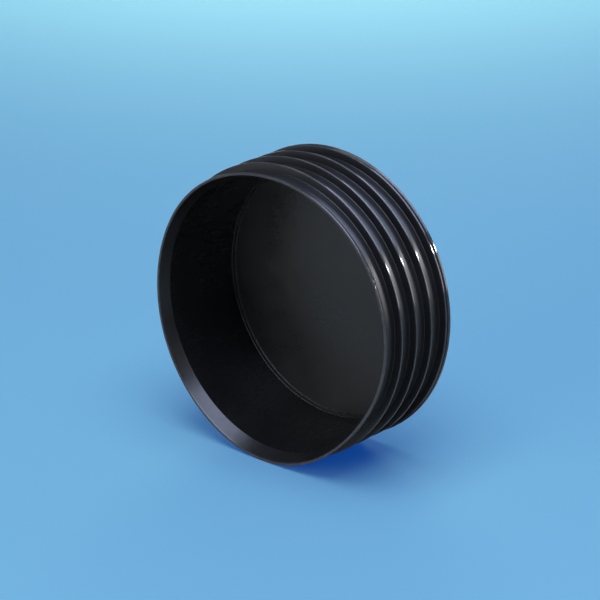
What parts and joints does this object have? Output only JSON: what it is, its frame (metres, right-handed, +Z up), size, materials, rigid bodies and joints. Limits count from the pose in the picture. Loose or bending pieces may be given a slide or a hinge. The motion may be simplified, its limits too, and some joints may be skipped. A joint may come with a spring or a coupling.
{
  "type": "finned pipe cap",
  "caption": "Shallow round pipe cap in black plastic: a cup with a flared open mouth, a flat closed end with a flange, and thin raised fins around the side wall that grip the inside of a pipe.",
  "frame": {"origin": "middle of the bottom of the bounding box, under the cap as it lies on its side", "axes": "+Y along the cap's axis from the open mouth to the closed end, +Z up, +X to the right when looking into the back of the mouth"},
  "size_m": [0.159, 0.0564, 0.159],
  "materials": {
    "black_polyethylene": "black moulded polyethylene, semi-gloss, with faint scuffs"
  },
  "bodies": {
    "root": {"end_disc": "black_polyethylene", "side_wall": "black_polyethylene", "mouth_lip": "black_polyethylene", "fin_1": "black_polyethylene", "fin_2": "black_polyethylene", "fin_3": "black_polyethylene", "fin_4": "black_polyethylene", "end_flange": "black_polyethylene", "corner_step": "black_polyethylene"}
  },
  "joints": []
}
